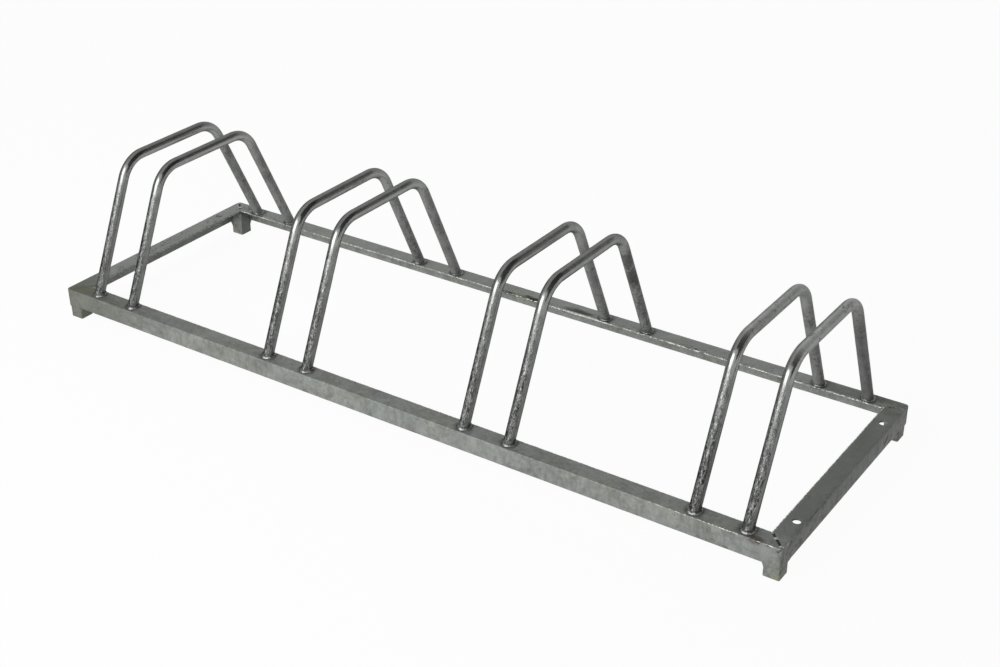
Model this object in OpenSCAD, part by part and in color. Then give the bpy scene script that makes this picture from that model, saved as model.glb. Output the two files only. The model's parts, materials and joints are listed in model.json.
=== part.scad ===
// Floor bike rack: a frame of four mitred angle rails on four feet, with a pair of bent tube
// hoops for each wheel. Millimetres, +Z up, front towards -Y.
// The origin lies on the floor, under the middle of the frame.

/* [Wheel bays] */
// Number of wheels that the rack holds
bays = 4; // [2:1:6]
// Distance from one wheel slot to the next
bay_pitch = 375; // [250:1:600]
// Clear width of a wheel slot, between its two hoops
slot_w = 61; // [35:1:100]
// Left end of the frame to the centre of the first hoop
left_margin = 64; // [45:1:150]
// Right end of the frame to the centre of the last hoop
right_margin = 59; // [45:1:150]

/* [Base frame] */
// Depth of the frame, from its front face to its rear face
rack_d = 431; // [380:1:600]
// Height of the rail tops above the floor
rail_top = 52; // [40:1:90]
// Width of each flange of the angle
flange_w = 30; // [28:1:36]
// Thickness of each flange of the angle
flange_t = 3; // [2.5:0.5:5]
// Fillet in the root of the angle
root_r = 5; // [2:0.5:6]
// Rounding of the inner edge of each flange
toe_r = 1.5; // [0.5:0.5:2]
// Gap between two rails where they meet at a corner
mitre_gap = 1.6; // [0.4:0.2:3]

/* [Fixing holes] */
// Diameter of the four holes for ground bolts
fixing_d = 12; // [8:0.5:14]
// End face of the frame to the centre of a fixing hole
fixing_in = 14; // [12:0.5:18]
// Front or rear face of the frame to the centre of a fixing hole
fixing_from_side = 70; // [45:1:120]

/* [Feet] */
// Outside width of the square tube
foot_w = 25; // [15:1:25]
// Wall of the square tube
foot_wall = 2.5; // [1.5:0.5:4]
// Rounding of the tube's long edges
foot_edge_r = 2.5; // [1:0.5:4]

/* [Hoops] */
// Outside diameter of the hoop tube
tube_d = 17.2; // [13:0.1:18]
// Wall of the hoop tube
tube_wall = 2.3; // [1:0.1:4]
// Height of the top bar's centreline above the rails
hoop_rise = 210; // [150:1:320]
// Length of the top bar between the points where its line meets the lines of the legs
hoop_top_run = 200; // [150:1:260]
// Bend radius at the centreline of the tube
bend_r = 51; // [30:1:70]
// Front or rear face of the frame to the centre of a hoop's foot
hoop_in = 16.5; // [15:0.5:17]
// Diameter of the drain hole in the rail under each hoop's foot
drain_d = 8; // [4:0.5:9]
// How far the bends stand proud of the straight tube
bend_swell = 0.04; // [0.02:0.01:0.1]
// How far the straight tube runs on inside each bend
bend_lap = 0.5; // [0.3:0.1:0.8]

/* [Welds] */
// Leg of the ring weld round each hoop's foot
ring_leg = 3.2; // [1.5:0.1:3.5]
// Half width of the bead on each corner tack
crown_w = 2.4; // [1.5:0.1:4]
// Height of a corner tack above the rails
crown_rise = 0.9; // [0.4:0.1:1.6]

/* [Hidden] */
$fn = 48;
hoop_pair = slot_w + tube_d;
rack_l = left_margin + (bays - 1) * bay_pitch + hoop_pair + right_margin;
rail_base = rail_top - flange_w;
mitre_set = mitre_gap / sqrt(2);
mitre_run = flange_w * sqrt(2);
// Start and end of each corner tack, as shares of the mitre line from the outer corner inwards
tack_shares = [[0, 0.2], [0.55, 0.71], [0.93, 1]];
hoop_lean = atan((rack_d / 2 - hoop_in - hoop_top_run / 2) / hoop_rise);
bend_turn = 90 - hoop_lean;
bend_tangent = bend_r * tan(bend_turn / 2);
top_z = rail_top + hoop_rise;
bend_y = hoop_top_run / 2 - bend_tangent;
leg_top_y = bend_y + bend_r * sin(bend_turn);
leg_top_z = top_z - bend_r * (1 - cos(bend_turn));
// How far a cutting shape reaches past what it cuts
overrun = 1;
steel = [0.53, 0.55, 0.54];
bright_zinc = [0.72, 0.74, 0.73];
bay_sides = ["left", "right"];
corners = [for (y = ["front", "rear"], x = ["left", "right"]) str(y, "_", x)];
bay_hoops = [for (b = [1:bays], s = bay_sides) str("bay_", b, "_", s, "_hoop")];

// Centre of hoop number i, counted from the left
function hoop_x(i) = left_margin - rack_l / 2 + floor(i / 2) * bay_pitch + (i % 2) * hoop_pair;

// What a square corner loses when it is rounded: the corner is at the origin, the body lies at +X +Y
module corner_loss(r) {
    difference() {
        translate([-overrun, -overrun]) square(r + overrun);
        translate([r, r]) circle(r);
    }
}

// Cross-section of the angle: outer corner at the origin, flanges along +X and -Y
module angle_section() {
    toe_gap = flange_w - flange_t + overrun;
    difference() {
        translate([0, -flange_w]) square(flange_w);
        translate([flange_t + root_r, -flange_w - overrun]) square([toe_gap, toe_gap]);
        translate([flange_t, -flange_w - overrun]) square([toe_gap, toe_gap - root_r]);
        translate([flange_t + root_r, -flange_t - root_r]) circle(root_r);
        translate([flange_w, -flange_t]) mirror([1, 0]) corner_loss(toe_r);
        translate([flange_t, -flange_w]) mirror([1, 0]) corner_loss(toe_r);
    }
}

// Angle rail along X with mitred ends: its outer face at y = 0, its top at z = 0, its inside at +Y
module mitred_rail(length) {
    difference() {
        translate([-length / 2, 0, 0]) rotate([90, 0, 90])
            linear_extrude(length) angle_section();
        for (end = [0, 1]) mirror([end, 0, 0]) translate([length / 2 - mitre_set, 0, 0])
            rotate([0, 0, 45]) translate([0, -mitre_run, -flange_w - overrun])
                cube([mitre_run, 2 * mitre_run, flange_w + 2 * overrun]);
    }
}

// Front rail, drained under each hoop's foot; the rear rail is its mirror image
module long_rail() {
    color(steel) difference() {
        translate([0, -rack_d / 2, rail_top]) mitred_rail(rack_l);
        for (i = [0:2 * bays - 1])
            translate([hoop_x(i), hoop_in - rack_d / 2, rail_top - flange_t - overrun])
                cylinder(d = drain_d, h = flange_t + 2 * overrun);
    }
}

module front_rail() {
    long_rail();
}

module rear_rail() {
    mirror([0, 1, 0]) long_rail();
}

// Left end rail with its two fixing holes; the right end rail is its mirror image
module left_end_rail() {
    color(steel) translate([-rack_l / 2, 0, rail_top]) difference() {
        rotate([0, 0, -90]) mitred_rail(rack_d);
        for (side = [-1, 1])
            translate([fixing_in, side * (rack_d / 2 - fixing_from_side), -flange_t - overrun])
                cylinder(d = fixing_d, h = flange_t + 2 * overrun);
    }
}

module right_end_rail() {
    mirror([1, 0, 0]) left_end_rail();
}

// Places what is made at a corner whose outer point is the origin and whose inside lies at +X +Y
module at_corner(c) {
    right = c == "front_right" || c == "rear_right";
    rear = c == "rear_left" || c == "rear_right";
    mirror([right ? 1 : 0, 0, 0]) mirror([0, rear ? 1 : 0, 0])
        translate([-rack_l / 2, -rack_d / 2, 0]) children();
}

// Outline of the foot's square tube, nested inside the two vertical flanges
module foot_outline() {
    translate([flange_t, flange_t]) difference() {
        square(foot_w);
        for (x = [0, 1], y = [0, 1])
            translate([x * foot_w, y * foot_w]) mirror([x, 0]) mirror([0, y])
                corner_loss(foot_edge_r);
    }
}

// Foot: an open square tube that stops below the angle's root fillet
module foot() {
    color(steel) linear_extrude(rail_top - flange_t - root_r) difference() {
        foot_outline();
        translate([flange_t + foot_wall, flange_t + foot_wall]) square(foot_w - 2 * foot_wall);
    }
}

// Fillet weld under the lower edges of both vertical flanges, against the foot's outer faces
module foot_weld() {
    color(bright_zinc) difference() {
        translate([flange_t, flange_t, rail_base]) {
            sphere(flange_t);
            rotate([0, 90, 0]) cylinder(r = flange_t, h = foot_w);
            rotate([-90, 0, 0]) cylinder(r = flange_t, h = foot_w);
        }
        linear_extrude(rail_top) foot_outline();
        translate([-overrun, -overrun, rail_base]) cube([flange_w + foot_w, flange_w + foot_w, flange_w]);
        translate([flange_t + foot_edge_r, flange_t + foot_edge_r, 0])
            cube([foot_w, foot_w, rail_base + overrun]);
    }
}

// Full-depth weld in part of the mitre gap, between two distances along it from the outer corner
module seam_fill(from, to, depth) {
    intersection() {
        rotate([0, 0, 45]) translate([from, -mitre_gap / 2, rail_top - depth])
            cube([to - from, mitre_gap, depth]);
        translate([0, 0, rail_top - depth]) cube([flange_w, flange_w, depth]);
    }
}

// Low domed bead over a tack, standing on the rails' top faces
module tack_crown(from, to) {
    dome_r = (crown_w ^ 2 + crown_rise ^ 2) / (2 * crown_rise);
    intersection() {
        rotate([0, 0, 45]) translate([(from + to) / 2, 0, rail_top + crown_rise - dome_r])
            sphere(dome_r);
        translate([0, 0, rail_top]) cube([flange_w, flange_w, crown_rise]);
    }
}

// Weld that joins two rails: the upright seam at the outer corner and the tacks along the mitre
module corner_weld() {
    color(bright_zinc) {
        seam_fill(0, flange_t * sqrt(2), flange_w);
        for (tack = tack_shares) {
            seam_fill(tack[0] * mitre_run, tack[1] * mitre_run, flange_t);
            tack_crown(tack[0] * mitre_run, tack[1] * mitre_run);
        }
    }
}

// Solid round bar along the hoop's centreline, its legs running on through the rails
module hoop_bar(d) {
    leg_run = (leg_top_z - rail_top) / cos(hoop_lean) + tube_d * tan(hoop_lean);
    translate([0, -bend_y - bend_lap, top_z]) rotate([-90, 0, 0])
        cylinder(d = d, h = 2 * (bend_y + bend_lap));
    for (end = [0, 1]) mirror([0, end, 0]) {
        translate([0, -bend_y, top_z - bend_r]) rotate([0, -90, 180])
            rotate_extrude(angle = bend_turn) translate([bend_r, 0]) circle(d = d + 2 * bend_swell);
        translate([0, -leg_top_y, leg_top_z]) rotate([180 - hoop_lean, 0, 0])
            translate([0, 0, -bend_lap]) cylinder(d = d, h = leg_run + bend_lap);
    }
}

// Hoop: a tube bent to a flat-topped arch, cut flat where it stands on the front and rear rails
module hoop(i) {
    color(steel) translate([hoop_x(i), 0, 0]) difference() {
        hoop_bar(tube_d);
        hoop_bar(tube_d - 2 * tube_wall);
        translate([-tube_d, -rack_d / 2, 0]) cube([2 * tube_d, rack_d, rail_top]);
    }
}

// Ring weld round each foot of a hoop, on the rail's top face
module hoop_welds(i) {
    color(bright_zinc) translate([hoop_x(i), 0, 0]) for (end = [0, 1]) mirror([0, end, 0])
        difference() {
            translate([0, hoop_in - rack_d / 2, rail_top]) rotate_extrude()
                translate([tube_d / 2, 0]) circle(ring_leg);
            translate([0, -leg_top_y, leg_top_z]) rotate([180 - hoop_lean, 0, 0])
                cylinder(d = tube_d, h = hoop_rise / cos(hoop_lean));
            translate([-tube_d, -rack_d / 2, rail_top - ring_leg - overrun])
                cube([2 * tube_d, flange_w + ring_leg, ring_leg + overrun]);
        }
}

front_rail();
rear_rail();
left_end_rail();
right_end_rail();
for (c = corners) {
    at_corner(c) foot();
    at_corner(c) foot_weld();
    at_corner(c) corner_weld();
}
for (i = [0:2 * bays - 1]) {
    hoop(i);
    hoop_welds(i);
}
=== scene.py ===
import json
import math

import bmesh
import bpy
from bpy.props import FloatProperty, FloatVectorProperty, PointerProperty
from mathutils import Matrix, Vector, noise


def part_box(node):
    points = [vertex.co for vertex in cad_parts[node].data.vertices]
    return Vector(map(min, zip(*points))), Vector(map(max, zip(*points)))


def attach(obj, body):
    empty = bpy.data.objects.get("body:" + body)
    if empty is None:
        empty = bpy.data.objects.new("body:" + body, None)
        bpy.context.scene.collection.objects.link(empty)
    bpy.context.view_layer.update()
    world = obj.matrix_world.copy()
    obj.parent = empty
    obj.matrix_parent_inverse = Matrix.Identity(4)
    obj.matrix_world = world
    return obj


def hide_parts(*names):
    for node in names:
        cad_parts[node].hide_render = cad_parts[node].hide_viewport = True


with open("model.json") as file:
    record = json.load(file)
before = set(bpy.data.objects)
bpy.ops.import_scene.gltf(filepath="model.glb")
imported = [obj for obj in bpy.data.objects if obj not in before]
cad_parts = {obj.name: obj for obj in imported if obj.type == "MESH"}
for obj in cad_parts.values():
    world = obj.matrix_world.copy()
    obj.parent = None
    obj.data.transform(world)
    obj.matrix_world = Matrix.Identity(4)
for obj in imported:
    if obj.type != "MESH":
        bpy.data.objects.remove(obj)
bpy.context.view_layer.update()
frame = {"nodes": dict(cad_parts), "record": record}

bl_info = {
    "name": "Floor bike rack",
    "version": (1, 0, 0),
    "blender": (4, 5, 0),
    "location": "3D View > Sidebar > Bike rack",
    "description": "Dresses the floor bike rack's frame in hot-dip galvanised steel",
    "category": "Object",
}

MM = 0.001


def middle_x(node):
    low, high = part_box(node)
    return (low.x + high.x) / 2


# What the frame says of the rack
FRONT_LOW, FRONT_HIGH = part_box("front_rail")
END_LOW, END_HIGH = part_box("left_end_rail")
FOOT_LOW, FOOT_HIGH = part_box("front_left_foot")
HALF_LENGTH = FRONT_HIGH.x
HALF_DEPTH = END_HIGH.y
RAIL_TOP = FRONT_HIGH.z
FLANGE = FRONT_HIGH.z - FRONT_LOW.z
FLANGE_T = FOOT_LOW.x - END_LOW.x
FOOT_WIDTH = FOOT_HIGH.x - FOOT_LOW.x
HOOPS = sorted(n for n in frame["nodes"] if n.endswith("_hoop"))
HOOP_X = sorted(middle_x(n) for n in HOOPS)
HOOP_TOP = max(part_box(n)[1].z for n in HOOPS)
BAY_PITCH = HOOP_X[2] - HOOP_X[0]
CORNERS = ("front_left", "front_right", "rear_left", "rear_right")
HOLES = next(m["dims"] for m in frame["record"]["mounts"] if m["name"] == "fixing_holes")

# Cuts leave points this near their plane alone, and points this near one height count as level
CUT_DIST, LEVEL = 1e-7, 1e-6
# A tube's edges that turn by more than this, in radians, are rims
SHARP = 1.2
# Faces that turn by less than this, in degrees, are shaded as one: on steel, and on welds
SMOOTH, WELD_SMOOTH = 35, 60
# Depth and size of the zinc's unevenness, on the frame and on the hoops
FRAME_SKIN, HOOP_SKIN = (0.3 * MM, 11 * MM), (0.18 * MM, 9 * MM)
# Length and width of the faces that a rail is cut into, and of a foot's
RAIL_CUTS, FOOT_CUTS = (6 * MM, 7.5 * MM), (4 * MM, 6 * MM)
# Sides of a hoop's tube and length of its rings, outside and inside
HOOP_OUTSIDE, HOOP_INSIDE = (40, 4 * MM), (16, 12 * MM)
# Sides of a ring weld, steps that its bead climbs in, and how far round it goes, in degrees
RING_SIDES, RING_STEPS, RING_TURN = 64, 8, 115
# How far a hoop's tube is swept past the rails' top before it is cut off there
SPARE = 14 * MM
# The first so many marks of the rails lie on the feet as well
FOOT_MARKS = 5

# Lumps of the tacks: distance along the mitre from the outer corner, across it, and half sizes, in mm
TACK_LUMPS = (
    (8.6, 0.0, (2.0, 2.4, 0.6)), (8.4, -1.9, (1.3, 1.0, 0.7)), (6.4, 2.6, (1.2, 0.9, 0.6)),
    (26.5, 0.0, (3.2, 2.0, 0.5)), (25.6, 2.3, (1.9, 1.4, 0.9)), (27.2, -2.0, (1.7, 1.2, 0.8)),
    (39.6, 0.3, (1.9, 1.7, 0.6)), (39.4, -1.3, (1.0, 0.9, 0.7)),
)
# Flat lumps of zinc that hide the mitre line at the choked corners, in the same way
CHOKED_LUMPS = (
    (12.0, 0.4, (7.0, 2.6, 0.35)), (19.5, -0.3, (6.5, 2.2, 0.30)), (32.5, 0.2, (7.0, 2.2, 0.30)),
)

FLOOR_REACH = 14
# Cards of the studio: centre, half sides, the axis that they face along, and grey
CARDS = (
    ("ceiling", (0, 2.4, 2.32), (5.0, 3.6), "Z", 0.54),
    ("dark_ceiling", (1.55, 0.55, 2.3), (1.45, 1.65), "Z", 0.03),
    ("dark_ceiling_behind", (1.9, 2.85, 2.3), (1.1, 0.65), "Z", 0.03),
    ("rear_ceiling", (-2.0, 4.9, 2.28), (4.0, 1.6), "Z", 0.85),
    ("left_flag", (-2.6, -0.9, 1.2), (1.15, 2.3), "X", 0.30),
    ("right_flag", (1.7, 0.6, 1.4), (0.8, 1.6), "X", 0.05),
)
# The lamp in front of the rack, in metres and watts
KEY_PLACE, KEY_AIM, KEY_SIZE, KEY_POWER = (-0.35, -2.4, 1.60), (0, 0, 0.1), (2.4, 1.9), 50
# The photo's camera, solved from the rack's corners: place; right, up and back; lens in millimetres
CAMERA_PLACE = (1.29396, -1.76829, 1.27325)
CAMERA_AXES = ((0.82623, 0.56329, -0.00655), (-0.26688, 0.40164, 0.87605), (0.49610, -0.72207, 0.48218))
CAMERA_LENS, CAMERA_SENSOR, CAMERA_CLIP = 57.12, 36.0, (0.05, 60)


def mm_length(name, description, default, low, high):
    """A length given in millimetres, with its least and greatest value."""
    return FloatProperty(name=name, description=description, default=default * MM,
                         min=low * MM, max=high * MM, unit="LENGTH", precision=4)


def zinc_shade(name, description, default):
    """A colour of the finish."""
    return FloatVectorProperty(name=name, description=description, subtype="COLOR", size=3,
                               default=default, min=0, max=1)


class RackSizes(bpy.types.PropertyGroup):
    """Sizes of what the looks add to the frame"""

    heel_radius: mm_length("Heel rounding", "Softening of the angle's outer edge under the zinc", 1, 0.2, 3)
    toe_radius: mm_length("Toe rounding", "Rounding of the flanges' inner edges", 1.5, 0.3, 2.5)
    rim_radius: mm_length("Rim rounding", "Bead of zinc along the top flange's inner edge", 1.1, 0.2, 1.4)
    root_radius: mm_length("Root fillet", "Fillet inside the angle", 5, 1, 7)
    mitre_gap: mm_length("Mitre gap", "Open gap between two rails at a corner", 2, 0.4, 3)
    hole_diameter: mm_length("Fixing hole", "Diameter of a fixing hole", 12, 6, 14)
    tube_diameter: mm_length("Hoop tube", "Outside diameter of the hoop tube", 17.2, 10, 20)
    tube_wall: mm_length("Hoop wall", "Wall of the hoop tube", 2.3, 1, 4)
    foot_wall: mm_length("Foot wall", "Wall of the square tube feet", 2.5, 1, 4)
    bend_radius: mm_length("Hoop bend", "Radius of a hoop's bends at the tube's centre", 51, 30, 70)
    top_run: mm_length(
        "Hoop top", "Length between the points where the lines of the legs meet the top", 200, 150, 260)
    hoop_in: mm_length(
        "Hoop setback", "Front face of the frame to the centre of a hoop's foot", 16.5, 14, 18)
    ring_leg: mm_length("Ring weld", "Leg of the weld round a hoop's foot", 3.2, 1.5, 4)
    corner_radius: mm_length("Corner rounding", "Rounding of the welded outer corners", 5.5, 4, 7)


class RackColours(bpy.types.PropertyGroup):
    """Colours of the finish"""

    face_zinc: zinc_shade("Upright faces", "Dull zinc on the flanges' upright faces", (0.268, 0.279, 0.264))
    # The zinc that lies flat is darker than the upright zinc, partly as painted shade
    top_zinc_shaded: zinc_shade("Top faces", "Darker zinc on the faces that lie flat", (0.240, 0.251, 0.238))
    tube_zinc: zinc_shade("Hoop tubes", "Brighter zinc of the hoops", (0.30, 0.308, 0.298))
    bright_zinc: zinc_shade("Weld zinc", "Bright zinc that gathers on the welds", (0.42, 0.43, 0.415))
    stain: zinc_shade("Stain", "Olive brown flux stain near the corners", (0.17, 0.165, 0.10))
    burnt: zinc_shade("Burnt zinc", "Brown burnt zinc beside the last hoop", (0.075, 0.06, 0.042))
    floor: zinc_shade("Floor", "Pale studio floor", (0.9, 0.9, 0.9))


# ---- Mesh helpers

VERT, EDGE, FACE = bmesh.types.BMVert, bmesh.types.BMEdge, bmesh.types.BMFace


def parts(found, kind):
    """The points, edges or faces among what a mesh operator gives."""
    return [g for g in found if isinstance(g, kind)]


def outward(bm):
    bmesh.ops.recalc_face_normals(bm, faces=bm.faces)


def linked(name, data):
    """A new object of the scene."""
    made = bpy.data.objects.new(name, data)
    bpy.context.scene.collection.objects.link(made)
    return made


def as_mesh(name, bm):
    """Turns the mesh under way into a mesh of the file."""
    mesh = bpy.data.meshes.new(name)
    bm.to_mesh(mesh)
    bm.free()
    return mesh


def finished(node, bm, slot, *finishes, angle=SMOOTH):
    """Makes the piece that stands for a CAD node, shades it and gives it its finishes."""
    outward(bm)
    mesh = as_mesh("dressed_" + node, bm)
    for face in mesh.polygons:
        face.use_smooth = True
    mesh.set_sharp_from_angle(angle=math.radians(angle))
    for finish in finishes:
        mesh.materials.append(bpy.data.materials[finish])
    piece = linked("dressed_" + node, mesh)
    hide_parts(node)
    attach(piece, "root")
    return piece


def roughened(bm, amount, size, seed=0.0):
    """Sinks the points by smooth noise, as uneven zinc does. One seed keeps neighbours level."""
    outward(bm)
    bm.normal_update()
    shift = Vector((seed * 7.3, seed * 3.1, seed * 5.7))
    moves = [v.normal * ((noise.noise(v.co / size + shift) * 0.5 - 0.5) * amount) for v in bm.verts]
    for v, move in zip(bm.verts, moves):
        v.co += move


def zinc_skin(bm):
    """The unevenness that rails, feet and the beads between them share."""
    roughened(bm, *FRAME_SKIN)


def moved(bm, shift, verts=None):
    """Shifts some points of the mesh, or all."""
    bmesh.ops.translate(bm, verts=bm.verts if verts is None else verts, vec=shift)


def cut(bm, point, normal, keep_both=True):
    """Cuts the mesh by a plane, and can throw away the side that the normal points to."""
    return bmesh.ops.bisect_plane(
        bm, geom=bm.verts[:] + bm.edges[:] + bm.faces[:], plane_co=point, plane_no=normal,
        clear_outer=not keep_both, dist=CUT_DIST)["geom_cut"]


def cut_off(bm, point, normal):
    """Throws away the side of a plane that its normal points to, and closes the cut."""
    bmesh.ops.holes_fill(bm, edges=parts(cut(bm, point, normal, keep_both=False), EDGE), sides=0)


def sliced(bm, axis, low, high, step):
    """Adds cuts across an axis, so that the faces can carry the zinc's unevenness."""
    count = max(1, round((high - low) / step))
    normal = Vector([float(i == axis) for i in range(3)])
    for i in range(1, count):
        cut(bm, normal * (low + (high - low) * i / count), normal)


def bevelled(bm, geom, radius, segments, affect="EDGES"):
    """Rounds edges or points off."""
    bmesh.ops.bevel(bm, geom=geom, offset=radius, affect=affect, segments=segments, profile=0.5, material=-1)


def cylinder(bm, centre, radius, depth, segments):
    bmesh.ops.create_cone(bm, cap_ends=True, segments=segments, radius1=radius, radius2=radius, depth=depth,
                          matrix=Matrix.Translation(centre))


def square(bm, size, matrix):
    bmesh.ops.create_grid(bm, x_segments=1, y_segments=1, size=size, matrix=matrix)


def edges_at(verts):
    """The edges at some points, each once and in a steady order."""
    return list(dict.fromkeys(e for v in verts for e in v.link_edges))


def grown(bm, ring):
    """Extrudes a ring of edges where it is: the new points and the new ring."""
    out = bmesh.ops.extrude_edge_only(bm, edges=ring)["geom"]
    verts = parts(out, VERT)
    fresh = set(verts)
    return verts, [e for e in parts(out, EDGE) if fresh.issuperset(e.verts)]


def angle_profile(bm, sizes):
    """Outline of the angle in the YZ plane, as one face: heel at the origin, flanges along +Y and -Z."""
    leg, t = FLANGE, FLANGE_T
    points = [(0, 0), (leg, 0), (leg, -t), (t, -t), (t, -leg), (0, -leg)]
    verts = [bm.verts.new((0, y, z)) for y, z in points]
    bm.faces.new(verts)
    radii = {0: sizes.heel_radius, 2: sizes.toe_radius, 4: sizes.toe_radius,
             3: sizes.root_radius, 1: sizes.rim_radius, 5: 0.5 * MM}
    for index, radius in radii.items():
        bevelled(bm, [verts[index]], radius, 6 if index == 3 else 4, "VERTICES")
    return bm.faces[:]


def rail_mesh(length, sizes):
    """Angle rail along X, mitred at both ends, its heel on the X axis and its inside at +Y."""
    bm = bmesh.new()
    start = angle_profile(bm, sizes)
    moved(bm, (-length / 2, 0, 0))
    out = bmesh.ops.extrude_face_region(bm, geom=start)
    moved(bm, (length, 0, 0), parts(out["geom"], VERT))
    for side in (-1, 1):
        cut_off(bm, (side * (length / 2 - sizes.mitre_gap / math.sqrt(2)), 0, 0), (side, 1, 0))
        cut_off(bm, (side * (length / 2 - sizes.corner_radius), 0, 0), (side, -1, 0))
    sliced(bm, 0, -length / 2, length / 2, RAIL_CUTS[0])
    sliced(bm, 1, 0, FLANGE, RAIL_CUTS[1])
    sliced(bm, 2, -FLANGE, 0, RAIL_CUTS[1])
    return bm


# ---- Material helpers

def tint(colour, factor):
    return tuple(min(1.0, c * factor) for c in colour)


class Value:
    """An output of a node, that can be added, subtracted and multiplied."""

    def __init__(self, net, socket):
        self.net, self.socket = net, socket

    def __add__(self, other):
        return self.net.math("ADD", self, other)

    def __sub__(self, other):
        return self.net.math("SUBTRACT", self, other)

    def __rsub__(self, other):
        return self.net.math("SUBTRACT", other, self)

    def __mul__(self, other):
        return self.net.math("MULTIPLY", self, other)

    def __abs__(self):
        return self.net.math("ABSOLUTE", self)

    __radd__, __rmul__ = __add__, __mul__


class Net:
    """Short words for adding and linking nodes in a tree."""

    def __init__(self, tree):
        self.tree = tree

    def node(self, kind, **settings):
        made = self.tree.nodes.new(kind)
        for key, value in settings.items():
            setattr(made, key, value)
        return made

    def put(self, socket, value):
        if isinstance(value, Value):
            self.tree.links.new(value.socket, socket)
        elif socket.type == "RGBA" and len(value) == 3:
            socket.default_value = (*value, 1)
        else:
            socket.default_value = value

    def put_all(self, node, sockets):
        for key, value in sockets.items():
            self.put(node.inputs[key], value)

    def fill(self, kind, output, sockets=None, **settings):
        """Adds a node, fills its sockets by name or number, and gives one of its outputs."""
        made = self.node(kind, **settings)
        self.put_all(made, sockets or {})
        return Value(self, made.outputs[output])

    def math(self, operation, a, b=0.0):
        return self.fill("ShaderNodeMath", 0, {0: a, 1: b}, operation=operation)

    def highest(self, a, b):
        return self.math("MAXIMUM", a, b)

    def vmath(self, operation, a, b):
        output = "Value" if operation in ("DISTANCE", "DOT_PRODUCT") else "Vector"
        return self.fill("ShaderNodeVectorMath", output, {0: a, 1: b}, operation=operation)

    def remap(self, value, low, high, to_low=0.0, to_high=1.0):
        return self.fill("ShaderNodeMapRange", "Result", {
            "Value": value, "From Min": low, "From Max": high, "To Min": to_low, "To Max": to_high},
            interpolation_type="SMOOTHSTEP")

    def fade(self, value, low, high):
        """One below the low value, nothing above the high one."""
        return self.remap(value, low, high, 1.0, 0.0)

    def noise(self, place, scale, detail=3.0, rough=0.6, distortion=0.0):
        return self.fill("ShaderNodeTexNoise", "Fac", {
            "Vector": place, "Scale": scale, "Detail": detail, "Roughness": rough, "Distortion": distortion})

    def mix(self, factor, a, b):
        return self.fill("ShaderNodeMix", 2, {0: factor, 6: a, 7: b}, data_type="RGBA")

    def shades(self, tone, colour, dark, light):
        """A colour that the tone takes from one shade of itself to another."""
        return self.mix(tone, tint(colour, dark), tint(colour, light))

    def split(self, vector):
        made = self.node("ShaderNodeSeparateXYZ")
        self.put(made.inputs[0], vector)
        return [Value(self, socket) for socket in made.outputs]

    def group(self, name, place, **inputs):
        """Adds a shared effect at a place, and gives its outputs by name."""
        made = self.node("ShaderNodeGroup", node_tree=bpy.data.node_groups[name])
        self.put_all(made, {"Position": place, **inputs})
        return {socket.name: Value(self, socket) for socket in made.outputs}


def new_group(name, inputs, outputs):
    """Starts a shared effect: its net, its inputs, and the sockets that take its outputs."""
    inputs = ("Position", *inputs)
    tree = bpy.data.node_groups.new(name, "ShaderNodeTree")
    for label in inputs:
        kind = "NodeSocketVector" if label in ("Position", "Centre") else "NodeSocketFloat"
        tree.interface.new_socket(label, in_out="INPUT", socket_type=kind)
    for label in outputs:
        tree.interface.new_socket(label, in_out="OUTPUT", socket_type="NodeSocketFloat")
    net = Net(tree)
    given = net.node("NodeGroupInput").outputs
    return net, [Value(net, given[label]) for label in inputs], net.node("NodeGroupOutput").inputs


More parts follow.
